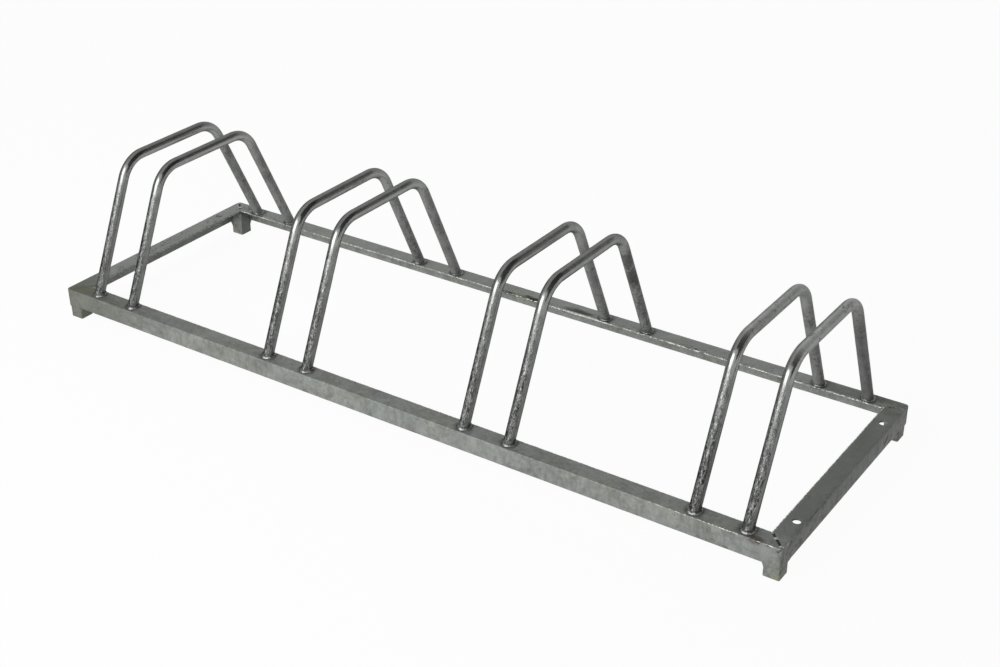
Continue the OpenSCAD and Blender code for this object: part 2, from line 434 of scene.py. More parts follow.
def build_groups(sizes):
    """The effects that the finishes share. Scale is in repeats to a metre."""
    # Crystal cells of the zinc, each a little lighter or darker, under a fine grain
    net, (place, scale), out = new_group("zinc_spangle", ("Scale",), ("Tone", "Height"))
    wobble = net.fill("ShaderNodeTexNoise", "Color", {"Vector": place, "Scale": 140.0, "Detail": 3.0})
    shift = net.vmath("MULTIPLY", net.vmath("SUBTRACT", wobble, (0.5, 0.5, 0.5)), (4 * MM, 4 * MM, 4 * MM))
    cells = {"Vector": net.vmath("ADD", place, shift), "Scale": scale}
    lightness, lift, _ = net.split(net.fill("ShaderNodeTexVoronoi", "Color", cells))
    grain = net.noise(place, 900.0, 4.0, 0.7)
    net.put(out["Tone"], 0.6 * lightness + 0.4 * grain)
    net.put(out["Height"], 0.3 * lift + grain)

    # Broad clouds where the zinc ran thick or thin
    net, (place, scale, hardness), out = new_group("zinc_clouds", ("Scale", "Hardness"), ("Tone",))
    cloud = net.noise(place, scale, 7.0, 0.62, 0.6)
    net.put(out["Tone"], net.remap(cloud, 0.5 - hardness, 0.5 + hardness))

    # Ragged flecks, gathered in some places and missing in others
    net, (place, scale, threshold), out = new_group("ragged_flecks", ("Scale", "Threshold"), ("Mask",))
    broad = net.noise(place, 34.0)
    value = net.noise(place, scale, distortion=0.6) + 0.55 * (broad - 0.5)
    net.put(out["Mask"], net.remap(value, threshold, threshold + 0.06))

    # Where a point lies on the rails: outer edge, inner edge, mitre gap, or close round a hoop's foot
    net, (place,), out = new_group("rail_places", (), ("Heel", "Toe", "Mitre", "Ring"))
    x, y, z = net.split(place)
    wander = net.noise(place, 240.0) - 0.5
    out_x, out_y, depth = HALF_LENGTH - abs(x), HALF_DEPTH - abs(y), RAIL_TOP - z
    inset = net.math("MINIMUM", out_x, out_y)
    net.put(out["Heel"], net.fade(inset + depth + 2.4 * MM * wander, 0.7 * MM, 1.7 * MM))
    toe = abs(inset - FLANGE) + depth + 1.6 * MM * wander
    net.put(out["Toe"], net.fade(toe, 1.3 * MM, 2.3 * MM))
    across = math.sqrt(0.5) * abs(out_x - out_y) + 0.6 * MM * wander - sizes.mitre_gap / 2
    inner = net.remap(inset, 4.2 * MM, 5.6 * MM)
    inner = inner * net.fade(depth, FLANGE_T + 0.8 * MM, FLANGE_T + 1.8 * MM)
    open_corner = net.math("LESS_THAN", x * y, 0.0)
    net.put(out["Mitre"], net.fade(across, 0.45 * MM, 1.0 * MM) * inner * open_corner)
    middle, half_slot = (HOOP_X[0] + HOOP_X[1]) / 2, (HOOP_X[1] - HOOP_X[0]) / 2
    bay = net.math("FLOORED_MODULO", x + (BAY_PITCH / 2 - middle), BAY_PITCH)
    off_x, off_y = abs(bay - BAY_PITCH / 2) - half_slot, out_y - sizes.hoop_in
    away = net.math("SQRT", off_x * off_x + off_y * off_y) + 9 * MM * wander
    away = away - (sizes.tube_diameter / 2 + sizes.ring_leg)
    net.put(out["Ring"], net.fade(away, 0.0, 6 * MM) * net.fade(depth, 1 * MM, 2 * MM))

    # Stain that fades out round a point, broken up by noise
    net, (place, centre, reach), out = new_group("faded_stain", ("Centre", "Reach"), ("Mask",))
    share = net.math("DIVIDE", net.vmath("DISTANCE", place, centre), reach)
    ragged = net.noise(place, 130.0, 4.0)
    net.put(out["Mask"], net.fade(share + 1.4 * (ragged - 0.5), 0.35, 1.0))


class Finish(Net):
    """A material under way, with the place on the part and the way that its surface faces."""

    def __init__(self, name):
        material = bpy.data.materials.new(name)
        material.use_nodes = True
        super().__init__(material.node_tree)
        self.shader = material.node_tree.nodes["Principled BSDF"]
        self.place = self.fill("ShaderNodeTexCoord", "Object")
        self.normal = self.fill("ShaderNodeNewGeometry", "Normal")

    def stretched(self, scale):
        """Squeezes the place along the axes, which draws a pattern out by as much."""
        return self.fill("ShaderNodeMapping", 0, {"Vector": self.place, "Scale": scale})

    def along_leg(self, lean, length):
        """Turns the place so that its Z runs along a front leg, and draws a pattern out that way."""
        return self.fill("ShaderNodeMapping", 0, {
            "Vector": self.place, "Rotation": (-lean, 0, 0), "Scale": (1, 1, length)}, vector_type="TEXTURE")

    def clouds(self, place, scale, hardness=0.2):
        return self.group("zinc_clouds", place, Scale=scale, Hardness=hardness)["Tone"]

    def flecks(self, place, scale, threshold):
        return self.group("ragged_flecks", place, Scale=scale, Threshold=threshold)["Mask"]

    def stained(self, colour, marks):
        """Lays marks over a colour."""
        for (x, y, z), squeeze, reach, shade, strength in marks:
            at = self.stretched((squeeze, 1, 1)) if squeeze != 1 else self.place
            mask = self.group("faded_stain", at, Centre=(x * squeeze, y, z), Reach=reach)["Mask"]
            colour = self.mix(strength * mask, colour, shade)
        return colour

    def surface(self, colour, rough, metal, edge, height, depth=0.10 * MM):
        """Joins the shader up. The edge is the grey of the reflection at grazing angles."""
        relief = {"Strength": 1.0, "Distance": depth, "Height": height}
        self.put_all(self.shader, {
            "Base Color": colour, "Roughness": rough, "Metallic": metal, "Specular Tint": (edge,) * 3,
            "Normal": self.fill("ShaderNodeBump", 0, relief)})


def angle_finish(name, face, top, marks, inner_shade):
    """Dull, cloudy zinc of the rails and feet: lighter upright faces, darker flat ones (partly painted
    shade), marked edges, and painted light and shade laid over it.
    """
    net = Finish(name)
    place, mix, remap, shades = net.place, net.mix, net.remap, net.shades
    flecks, highest = net.flecks, net.highest
    x, y, _ = net.split(place)
    facing_x, _, facing_z = net.split(net.normal)
    patch = net.clouds(net.stretched((1, 1, 0.5)), 110.0, 0.17)
    spangle = net.group("zinc_spangle", place, Scale=230.0)
    tone = 0.34 * net.clouds(place, 30.0) + 0.34 * patch + 0.32 * spangle["Tone"]
    ragged = net.noise(place, 150.0, 4.0, 0.65) - 0.5
    lies = remap(abs(facing_z) + 0.6 * ragged, 0.45, 0.80)

    # The right end is darker, most of all outside: painted shade on the side turned from the lamp; dirt
    # flecks gather on its outer face, and inward faces get painted shade
    right_end = remap(x, HALF_LENGTH - FLANGE - 2 * MM, HALF_LENGTH - FLANGE + 2 * MM)
    rounded = remap(x, HALF_LENGTH - 13 * MM, HALF_LENGTH - 1 * MM, 0.0, 0.35)
    outer = right_end * highest(remap(facing_x, 0.15, 1.0), rounded)
    right_end = right_end * remap(y, -0.20, -0.17)
    # Flat faces take the darker top zinc: partly the zinc's own tone, partly painted shade
    flat = mix(0.6 * right_end, shades(tone, top, 0.60, 1.40), top)
    colour = mix(lies, shades(tone, face, 0.50, 1.48), flat)
    # Painted shade on faces that turn inwards, under the rails, strongest on the feet
    inward = remap(net.math("SIGN", x) * facing_x, -0.5, -0.9)
    colour = mix(inner_shade * inward, colour, tint(face, 0.32))
    # Painted shade over the right end, deepest on its outer face
    colour = mix(highest(0.28 * right_end, 0.68 * outer), colour, tint(face, 0.35))
    dirt = flecks(net.stretched((1, 0.5, 1)), 150.0, 0.53) * outer * remap(y, 0.10, -0.05)
    colour = mix(0.75 * dirt, colour, tint(face, 0.22))

    # The left end and the rear rail are paler on top: a painted sheen
    at_rear = net.math("GREATER_THAN", y, HALF_DEPTH - FLANGE - 1 * MM)
    left_end = remap(x, FLANGE - HALF_LENGTH + 2 * MM, FLANGE - HALF_LENGTH - 2 * MM)
    painted_sheen = highest(left_end, 0.8 * at_rear) * lies * remap(y, -0.19, -0.12)
    colour = mix(0.20 * painted_sheen, colour, tint(top, 2.2))

    # Pale flecks and pits everywhere, dross and fresh zinc along the rear rail's inner edge
    pale = flecks(place, 420.0, 0.66)
    colour = mix(0.30 * pale, colour, tint(face, 1.9))
    elsewhere = net.vmath("ADD", place, (0.37, 0.11, 0.23))
    pits = flecks(elsewhere, 260.0, remap(x, -0.62, -0.42, 0.60, 0.68))
    colour = mix(0.60 * pits, colour, tint(top, 0.30))
    lip = HALF_DEPTH - FLANGE
    dirty = remap(y, lip + 16 * MM, lip + 2 * MM) * at_rear * remap(x, -0.15, -0.02)
    dirty = highest(dirty, at_rear * remap(x, HOOP_X[-1], HOOP_X[-1] + 20 * MM, 0.0, 0.7))
    drawn = net.stretched((0.45, 1, 1))
    dross = flecks(drawn, 230.0, 0.60) * dirty
    colour = mix(0.80 * dross, colour, tint(top, 0.18))
    fresh = flecks(net.vmath("ADD", drawn, (0.21, 0.43, 0.0)), 330.0, 0.62) * dirty
    colour = mix(0.60 * fresh, colour, tint(face, 2.1))
    drift = remap(net.noise(place, 16.0), 0.38, 0.62)
    colour = net.vmath("MULTIPLY", colour, mix(drift, (1.012, 1.008, 0.965), (0.985, 1.0, 1.008)))

    # Darker zinc round the hoops' feet, partly flux and partly painted shade; marks; painted highlights along
    # the edges; painted shade along the left end's inner edge and in the mitre gap
    spots = net.group("rail_places", place)
    colour = mix(0.62 * spots["Ring"], colour, tint(top, 0.30))
    colour = net.stained(colour, marks)
    broken = remap(net.noise(net.stretched((0.6, 0.6, 1)), 420.0, 4.0, 0.7), 0.49, 0.57)
    # Painted highlight along the outer edge, strongest at the front right
    heel = spots["Heel"] * remap(x, 0.40, 0.60, 0.15, 0.95) * broken * remap(y, -0.19, -0.205)
    # Painted shade along the left end's inner edge
    colour = mix(0.6 * (spots["Toe"] * left_end), colour, tint(top, 0.35))
    # Painted highlight along the inner edges, except at the left end
    toe = spots["Toe"] * (0.05 + 0.95 * broken) * (1.0 - left_end)
    edge = highest(heel, toe)
    colour = mix(edge, colour, tint(face, 3.3))
    # Painted shade in the mitre gap
    colour = mix(spots["Mitre"], colour, tint(top, 0.03))
    rough = 0.50 + 0.20 * (patch - 0.5) - 0.22 * edge
    height = spangle["Height"] + 1.4 * patch + pale - 1.5 * pits + 2.5 * (fresh - dross)
    net.surface(colour, rough, 0.35, 0.5, height)


def tube_finish(name, zinc, marks, lean):
    """Zinc of the hoops: satin on top and behind, glossy at the front bends, streaked down the front legs."""
    net = Finish(name)
    place, mix, remap, shades = net.place, net.mix, net.remap, net.shades
    flecks, highest = net.flecks, net.highest
    x, y, z = net.split(place)
    facing_x, _, facing_z = net.split(net.normal)

    # Where the zinc is calm, glossy, dull or busy
    wavy = z + 0.032 * (net.noise(place, 40.0, 3.0, 0.5) - 0.5)
    above = (0.62 * remap(wavy, RAIL_TOP + 0.166, RAIL_TOP + 0.192)
             + 0.38 * remap(wavy, RAIL_TOP + 0.050, RAIL_TOP + 0.185))
    to_right = remap(x, 0.35, 0.60)
    front = remap(y + 0.024 * to_right, -0.045, -0.085)
    behind = remap(y, 0.085, 0.125)
    dull = highest(behind, 0.85 * to_right) * (1.0 - front)
    busy_share, gloss = (1.0 - above) * front, above * front

    # The patterns: short dashes, winding lines, streaks, clouds and grain
    drawn = net.along_leg(lean, 4.0)
    dashes = remap(net.noise(net.along_leg(lean, 2.6), 460.0, 2.0, 0.6, 0.4), 0.55, 0.63)
    winding = net.fade(abs(net.noise(drawn, 210.0, distortion=0.8) - 0.5), 0.005, 0.040)
    streaks = remap(net.noise(drawn, 310.0), 0.38, 0.62)
    cloud = net.clouds(net.stretched((1, 0.6, 0.5)), 80.0)
    grain = net.noise(place, 700.0)
    tone = 0.6 * cloud + 0.4 * grain

    # Matte zinc behind and on the crowns of the right hand hoops, spotted, darkest behind on the last
    # Painted light on the crowns' upper side, painted shade on their left side
    crown_light_and_shade = mix(remap(facing_z, 0.35, -0.10), shades(tone, zinc, 1.45, 2.25), shades(tone, zinc, 0.90, 1.40))
    crown_light_and_shade = mix(remap(facing_x, 0.10, -0.50), crown_light_and_shade, shades(tone, zinc, 0.20, 0.70))
    matte = mix(1.0 - behind, shades(tone, zinc, 0.36, 1.08), crown_light_and_shade)
    mottled = remap(abs(x - HOOP_X[5]), 10 * MM, 12 * MM, 0.52, 0.59)
    matte = mix(0.62 * flecks(place, 200.0, mottled), matte, tint(zinc, 0.20))
    last = behind * remap(x, HOOP_X[-1] - 30 * MM, HOOP_X[-1] - 20 * MM, 0.0, 0.35)
    matte = mix(last, matte, tint(zinc, 0.16))

    # Calm zinc on the other crowns, with a painted dark reflection along their right shoulder
    shoulder = remap(net.vmath("DOT_PRODUCT", net.normal, (0.78, 0, 0.62)), 0.80, 0.97)
    painted_dark_reflection = shoulder * above * remap(x, -0.45, 0.0, 0.48, 0.22)
    calm = mix(painted_dark_reflection, shades(tone, zinc, 0.80, 1.15), tint(zinc, 0.25))
    calm = mix(dull, calm, matte)

    # Busy zinc down the front legs, plainer on their right; its bright flecks are partly painted highlight,
    # kept mostly off the right side, which is turned from the lamp
    right = remap(net.vmath("DOT_PRODUCT", net.normal, (0.82, 0.57, 0)), 0.10, 0.50)
    busy = shades(0.6 * streaks + 0.4 * cloud, zinc, 0.05, 0.34)
    busy = mix(0.85 * right, busy, shades(tone, zinc, 0.42, 0.72))
    bright = highest(0.70 * dashes, 0.90 * winding) * (1.0 - 0.7 * right) * (0.50 + 0.4 * cloud)
    busy = mix(bright, busy, tint(zinc, 1.15))
    colour = net.stained(mix(busy_share, calm, busy), marks)

    rough = 0.26 - 0.12 * gloss + 0.24 * dull + 0.06 * cloud
    height = (0.06 * grain + 0.16 * cloud + (1.7 * bright + 0.9 * streaks) * busy_share
              + 0.35 * streaks * gloss)
    net.surface(colour, rough, 0.92 - 0.72 * dull, 0.25, height, 0.12 * MM)


def weld_finish(name, zinc, metal):
    """Zinc over weld beads: smooth and glossy, with soft darker hollows."""
    net = Finish(name)
    cloud = net.clouds(net.place, 150.0)
    spangle = net.group("zinc_spangle", net.place, Scale=420.0)
    colour = net.shades(0.65 * cloud + 0.35 * spangle["Tone"], zinc, 0.22, 0.76)
    net.surface(colour, 0.20 + 0.14 * cloud, metal, 0.35, 0.5 * spangle["Height"] + 1.2 * cloud)


def in_metres(marks):
    """Marks given in millimetres as rows of centre, squeeze along X, reach, shade and strength."""
    return [((x * MM, y * MM, z * MM), squeeze, reach * MM, shade, strength)
            for x, y, z, squeeze, reach, shade, strength in marks]


def rail_marks(stain, burnt):
    """Stains and specks of the rails, of which the first ones lie on the feet as well."""
    right, front, lip = HALF_LENGTH / MM, -HALF_DEPTH / MM, (HALF_DEPTH - FLANGE) / MM
    top, last = RAIL_TOP / MM, HOOP_X[-1] / MM
    black, pitch = (0.03, 0.03, 0.03), (0.015, 0.015, 0.015)
    return in_metres([
        # olive stains: front right foot, front left corner's top and front
        (right - 6, front + 3, 2, 1, 12, tint(stain, 1.9), 0.45),
        (26 - right, front + 12, top, 0.5, 17, tint(stain, 0.55), 0.70),
        (27 - right, front + 12, top, 0.5, 14, tint(stain, 1.15), 0.80),
        (8 - right, front + 2, top - 8, 1, 13, stain, 0.25),
        (-right, front, top - 16, 0.4, 100, (0.13, 0.138, 0.11), 0.60),
        # burnt zinc from the last hoop's foot to the rail's edge, and a rusty spot at the lower edge
        (last + 17, front + 5, top, 0.6, 10, burnt, 0.75),
        (last + 23, front, top - 1, 0.6, 3.2, burnt, 0.8),
        (right - 80, front, top - FLANGE / MM + 2, 0.6, 4, burnt, 0.5),
        # dark specks at the front right corner and a slit on the right end rail
        (right - 4.5, front + 0.5, top - 2.5, 0.5, 1.6, (0.02, 0.02, 0.02), 1.0),
        (right, front + 13, top - 14, 1, 2.2, black, 0.9),
        (right - 7, front, top - 5, 0.6, 1.8, black, 0.9),
        (right - 22, front, top - 1.5, 0.3, 2.2, (0.05, 0.05, 0.045), 0.8),
        *((right, -front - 79.5 - 2.5 * k, top - 14.2 - 1.3 * k, 1, 4.6, pitch, 1.0) for k in range(5)),
        # dark zinc on the rear rail by the last bay, olive towards its end, with specks
        (580, lip + 17, top, 0.24, 20, (0.115, 0.120, 0.118), 0.60),
        (630, lip + 24, top, 0.35, 13, (0.085, 0.085, 0.062), 0.60),
        (right - 12, lip - 2, top, 0.8, 22, (0.130, 0.135, 0.105), 0.50),
        (634, lip + 9, top, 1, 2.4, (0.50, 0.51, 0.46), 0.8),
        (641, lip + 6, top, 1, 2.0, black, 0.9),
        (648, lip + 11, top, 1, 2.2, (0.45, 0.46, 0.40), 0.7),
        (627, lip + 4, top, 1, 2.4, black, 0.9),
        # rough dross along the rear rail's inner edge
        (-32, lip + 0.5, top, 0.25, 7, (0.03, 0.03, 0.025), 0.95),
        (4, lip + 0.5, top, 0.30, 10, (0.15, 0.14, 0.06), 0.85),
        (19, lip + 3.5, top, 0.40, 12, (0.018, 0.018, 0.012), 1.0),
        (104, lip + 6.5, top, 0.36, 13.5, (0.04, 0.04, 0.032), 0.90),
        (115, lip + 0.5, top, 0.07, 4, (0.62, 0.62, 0.60), 0.80),
    ])


def tube_marks():
    """Dark spots on the rear legs of the third and the sixth hoop."""
    third, sixth, top = HOOP_X[2] / MM, HOOP_X[5] / MM, RAIL_TOP / MM
    return in_metres([
        (sixth, 142, top + 125, 1, 26, (0.04, 0.04, 0.033), 0.74),
        (sixth, 122, top + 165, 1, 26, (0.05, 0.05, 0.04), 0.66),
        (sixth - 6, 160, top + 88, 1, 9, (0.02, 0.02, 0.02), 1.0),
        (third, 190, top + 18, 1, 12, (0.05, 0.05, 0.045), 0.7),
    ])


# ---- Pieces

def flipped(bm, axis):
    """Mirrors the mesh across the middle of the rack."""
    bmesh.ops.scale(bm, verts=bm.verts, vec=[-1 if i == axis else 1 for i in range(3)])


class RACK_OT_finishes(bpy.types.Operator):
    """Makes the galvanised finishes that the pieces take"""

    bl_idname = "rack.finishes"
    bl_label = "Finishes"

    def execute(self, context):
        sizes, colours = context.scene.rack_sizes, context.scene.rack_colours
        face, top, weld = colours.face_zinc, colours.top_zinc_shaded, colours.bright_zinc
        build_groups(sizes)
        marks = rail_marks(colours.stain, colours.burnt)
        angle_finish("galvanised_angle", face, top, marks, inner_shade=0.35)
        angle_finish("galvanised_foot", face, top, marks[:FOOT_MARKS], inner_shade=0.7)
        tube_finish("galvanised_tube", colours.tube_zinc, tube_marks(), hoop_path(sizes)[0])
        weld_finish("zinc_on_welds", weld, 0.85)
        # Pale fresh zinc of the tacks, partly painted highlight
        weld_finish("fresh_zinc_and_glint", tint(weld, 2.6), 0.25)
        return {"FINISHED"}


class RACK_OT_long_rails(bpy.types.Operator):
    """Builds the front and rear rails"""

    bl_idname = "rack.long_rails"
    bl_label = "Front and rear rails"

    def execute(self, context):
        for name in ("front_rail", "rear_rail"):
            bm = rail_mesh(2 * HALF_LENGTH, context.scene.rack_sizes)
            moved(bm, (0, -HALF_DEPTH, RAIL_TOP))
            if name == "rear_rail":
                flipped(bm, 1)
            zinc_skin(bm)
            finished(name, bm, "angle_steel", "galvanised_angle")
        return {"FINISHED"}


class RACK_OT_end_rails(bpy.types.Operator):
    """Builds the left and right end rails with their fixing holes"""

    bl_idname = "rack.end_rails"
    bl_label = "End rails"

    def execute(self, context):
        sizes = context.scene.rack_sizes
        for name, side in (("left_end_rail", -1), ("right_end_rail", 1)):
            bm = rail_mesh(2 * HALF_DEPTH, sizes)
            bmesh.ops.rotate(bm, verts=bm.verts, cent=(0, 0, 0), matrix=Matrix.Rotation(-math.pi / 2, 3, "Z"))
            moved(bm, (-HALF_LENGTH, 0, RAIL_TOP))
            if side > 0:
                flipped(bm, 0)
            zinc_skin(bm)
            piece = finished(name, bm, "angle_steel")
            punch_holes(piece, side, sizes.hole_diameter)
            piece.data.materials.append(bpy.data.materials["galvanised_angle"])
        return {"FINISHED"}


def punch_holes(piece, side, diameter):
    """Cuts the two fixing holes of an end rail."""
    bm = bmesh.new()
    for y in (-1, 1):
        x_out, y_out = side * HOLES["spacing_x_mm"] / 2 * MM, y * HOLES["spacing_y_mm"] / 2 * MM
        cylinder(bm, (x_out, y_out, RAIL_TOP - FLANGE_T / 2), diameter / 2, FLANGE_T * 3, 48)
    punch = linked("punch", as_mesh("punch", bm))
    holes = piece.modifiers.new("holes", "BOOLEAN")
    holes.operation, holes.object, holes.solver = "DIFFERENCE", punch, "EXACT"
    made = bpy.data.meshes.new_from_object(piece.evaluated_get(bpy.context.evaluated_depsgraph_get()))
    piece.modifiers.clear()
    piece.data = made
    bpy.data.objects.remove(punch)


class RACK_OT_feet(bpy.types.Operator):
    """Builds the four square tube feet"""

    bl_idname = "rack.feet"
    bl_label = "Feet"

    def execute(self, context):
        sizes = context.scene.rack_sizes
        for corner in CORNERS:
            low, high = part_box(corner + "_foot")
            bm = square_tube(low, high, sizes.foot_wall, sizes.corner_radius - FLANGE_T)
            zinc_skin(bm)
            for v in bm.verts:
                v.co.z = max(v.co.z, low.z)
            finished(corner + "_foot", bm, "foot_tube", "galvanised_foot")
        return {"FINISHED"}


def square_tube(low, high, wall, radius):
    """Open square tube with rounded edges that stands between two corners of a box."""
    bm = bmesh.new()
    centre, size = (low + high) / 2, high - low
    place = Matrix.Translation((centre.x, centre.y, low.z))
    square(bm, 0.5, place @ Matrix.Diagonal((size.x, size.y, 1, 1)))
    bevelled(bm, bm.verts[:], radius, 5, "VERTICES")
    middle = max(bm.faces, key=lambda f: f.calc_area())
    bmesh.ops.inset_region(bm, faces=[middle], thickness=wall, use_even_offset=True, use_boundary=True)
    bmesh.ops.delete(bm, geom=[middle], context="FACES")
    bmesh.ops.remove_doubles(bm, verts=bm.verts, dist=0.02 * MM)
    out = bmesh.ops.extrude_face_region(bm, geom=bm.faces[:])
    moved(bm, (0, 0, size.z), parts(out["geom"], VERT))
    outward(bm)
    rims = [e for e in bm.edges if e.calc_face_angle(0) > SHARP
            and abs(e.verts[0].co.z - e.verts[1].co.z) < LEVEL]
    bevelled(bm, rims, 0.6 * MM, 2)
    for axis in (0, 1):
        sliced(bm, axis, low[axis], high[axis], FOOT_CUTS[1])
    sliced(bm, 2, low.z, high.z, FOOT_CUTS[0])
    return bm


def hoop_path(sizes):
    """Lean of the legs, turn of a bend, half length of the straight top and the length of a leg."""
    foot_y, height = HALF_DEPTH - sizes.hoop_in, HOOP_TOP - sizes.tube_diameter / 2
    lean = math.atan((foot_y - sizes.top_run / 2) / (height - RAIL_TOP))
    turn = math.pi / 2 - lean
    half_top = sizes.top_run / 2 - sizes.bend_radius * math.tan(turn / 2)
    leg_top_z = height - sizes.bend_radius * (1 - math.cos(turn))
    return lean, turn, half_top, (leg_top_z - RAIL_TOP) / math.cos(lean)


def swept_hoop(bm, sizes, x, radius, sides, step):
    """A tube along the hoop's line, from below the front rail's top round to below the rear rail's."""
    lean, turn, half_top, leg = hoop_path(sizes)
    bend_z = HOOP_TOP - sizes.tube_diameter / 2 - sizes.bend_radius
    along = Vector((0, math.sin(lean), math.cos(lean)))
    foot = Vector((x, -HALF_DEPTH + sizes.hoop_in, RAIL_TOP))
    ring = bmesh.ops.create_circle(
        bm, segments=sides, radius=radius,
        matrix=Matrix.Translation(foot - along * SPARE) @ Matrix.Rotation(-lean, 4, "X"))

    def straight(edges, direction, length):
        count = max(1, round(length / step))
        for _ in range(count):
            verts, edges = grown(bm, edges)
            moved(bm, direction * (length / count), verts)
        return edges

    def bend(edges, y):
        steps = max(6, round(turn * sizes.bend_radius / step))
        out = bmesh.ops.spin(bm, geom=edges, cent=(x, y, bend_z), axis=(1, 0, 0), angle=-turn, steps=steps,
                             use_duplicate=False)
        return parts(out["geom_last"], EDGE)

    edges = straight(edges_at(ring["verts"]), along, leg + SPARE)
    edges = straight(bend(edges, -half_top), Vector((0, 1, 0)), 2 * half_top)
    straight(bend(edges, half_top), Vector((0, math.sin(lean), -math.cos(lean))), leg + SPARE)


class RACK_OT_hoops(bpy.types.Operator):
    """Builds the bent tube hoops"""

    bl_idname = "rack.hoops"
    bl_label = "Hoops"

    def execute(self, context):
        sizes = context.scene.rack_sizes
        for index, name in enumerate(HOOPS):
            x, radius = middle_x(name), sizes.tube_diameter / 2
            bm = bmesh.new()
            swept_hoop(bm, sizes, x, radius, *HOOP_OUTSIDE)
            roughened(bm, *HOOP_SKIN, seed=index + 11)
            swept_hoop(bm, sizes, x, radius - sizes.tube_wall, *HOOP_INSIDE)
            cut(bm, (0, 0, RAIL_TOP), (0, 0, -1), keep_both=False)
            for side in (-1, 1):
                rims = [e for e in bm.edges if e.is_boundary and e.verts[0].co.y * side > 0]
                bmesh.ops.bridge_loops(bm, edges=rims)
            finished(name, bm, "hoop_tube", "galvanised_tube")
        return {"FINISHED"}


class RACK_OT_ring_welds(bpy.types.Operator):
    """Builds the rippled ring welds at the hoops' feet"""

    bl_idname = "rack.ring_welds"
    bl_label = "Ring welds"

    def execute(self, context):
        sizes = context.scene.rack_sizes
        slope = math.tan(hoop_path(sizes)[0])
        for index, name in enumerate(HOOPS):
            bm = bmesh.new()
            for side in (-1, 1):
                centre = Vector((middle_x(name), side * (HALF_DEPTH - sizes.hoop_in), RAIL_TOP))
                ring_weld(bm, centre, -side * slope, sizes, index * 2 + side)
            finished(name + "_welds", bm, "weld_bead", "zinc_on_welds", angle=WELD_SMOOTH)
        return {"FINISHED"}


def ring_weld(bm, centre, slope, sizes, seed):
    """A bead round one foot, rougher behind: rings that climb from the rail to the leaning tube."""
    clods = 0.0 if centre.y < 0 else 0.72
    radius, leg = sizes.tube_diameter / 2, sizes.ring_leg
    verts = bmesh.ops.create_circle(bm, segments=RING_SIDES, radius=radius + leg,
                                    matrix=Matrix.Translation(centre))["verts"]
    edges = edges_at(verts)
    bm.faces.new(verts)
    made = list(verts)
    for k in range(1, RING_STEPS + 1):
        turn = k / RING_STEPS * math.radians(RING_TURN)
        verts, edges = grown(bm, edges)
        for v in verts:
            arm = Vector((v.co.x - centre.x, v.co.y - centre.y, 0)).normalized()
            rise = leg * math.sin(turn)
            v.co = centre + arm * (radius + leg * math.cos(turn)) + Vector((0, slope * rise * 0.9, rise))
        made += verts
    bm.faces.new(verts)
    for v in made:
        arm = v.co - centre
        angle = math.atan2(arm.y, arm.x)
        ripple = 0.5 + 0.5 * math.sin(angle * 17 + seed * 1.7 + 2.2 * noise.noise(Vector((angle, seed, 0))))
        lump = noise.noise(Vector((math.cos(angle) * 1.6, math.sin(angle) * 1.6, seed * 3.1)))
        flat = Vector((arm.x, arm.y, 0)).normalized()
        push = (0.16 * ripple - 0.1 + 0.5 * lump + clods * noise.noise(v.co * 260)) * MM
        v.co += flat * push + Vector((0, 0, max(0.0, arm.z) * (0.10 * ripple + 0.25 * lump)))


class RACK_OT_corner_welds(bpy.types.Operator):
    """Builds the seams, tacks and foot fillets at the corners"""

    bl_idname = "rack.corner_welds"
    bl_label = "Corner welds"

    def execute(self, context):
        sizes = context.scene.rack_sizes
        for index, corner in enumerate(CORNERS):
            sx = -1 if corner.endswith("left") else 1
            sy = -1 if corner.startswith("front") else 1
            choked = sx == sy
            bm = corner_bead(sizes)
            to_corner(bm, sx, sy)
            zinc_skin(bm)
            to_corner(bm, sx, sy, back=True)
            gap_root(bm, sizes, choked)
            tacks(bm, CHOKED_LUMPS if choked else (), index)
            bead_faces = len(bm.faces)
            tacks(bm, TACK_LUMPS, index)
            bm.faces.ensure_lookup_table()
            # Tacks at the open corners take the pale zinc, partly painted highlight
            for face in bm.faces[bead_faces:]:
                face.material_index = 0 if choked else 1
            to_corner(bm, sx, sy)
            finished(corner + "_corner_weld", bm, "weld_bead", "galvanised_angle", "fresh_zinc_and_glint",
                     angle=WELD_SMOOTH)
            bm = foot_fillet(sizes)
            to_corner(bm, sx, sy)
            zinc_skin(bm)
            finished(corner + "_foot_weld", bm, "weld_bead", "galvanised_angle", angle=WELD_SMOOTH)
        return {"FINISHED"}


def to_corner(bm, sx, sy, back=False):
    """Takes what was made round a corner's outer point to its place in the rack, or back."""
    turn, shift = Vector((-sx, -sy, 1)), Vector((sx * HALF_LENGTH, sy * HALF_DEPTH, 0))
    if back:
        moved(bm, -shift)
    bmesh.ops.scale(bm, verts=bm.verts, vec=turn)
    if not back:
        moved(bm, shift)


def corner_bead(sizes):
    """Upright bead, flush with both outer faces, that rounds the corner from the lower edges to the top."""
    radius, low, high = sizes.corner_radius, RAIL_TOP - FLANGE + 0.3 * MM, RAIL_TOP - 0.08 * MM
    bm = bmesh.new()
    cylinder(bm, (radius, radius, (low + high) / 2), radius, high - low, 64)
    rim = [e for e in bm.edges if all(v.co.z > high - LEVEL for v in e.verts)]
    bevelled(bm, rim, sizes.heel_radius, 3)
    cut_off(bm, (radius, radius, 0), (1, 1, 0))
    sliced(bm, 2, low, high, 4 * MM)
    return bm


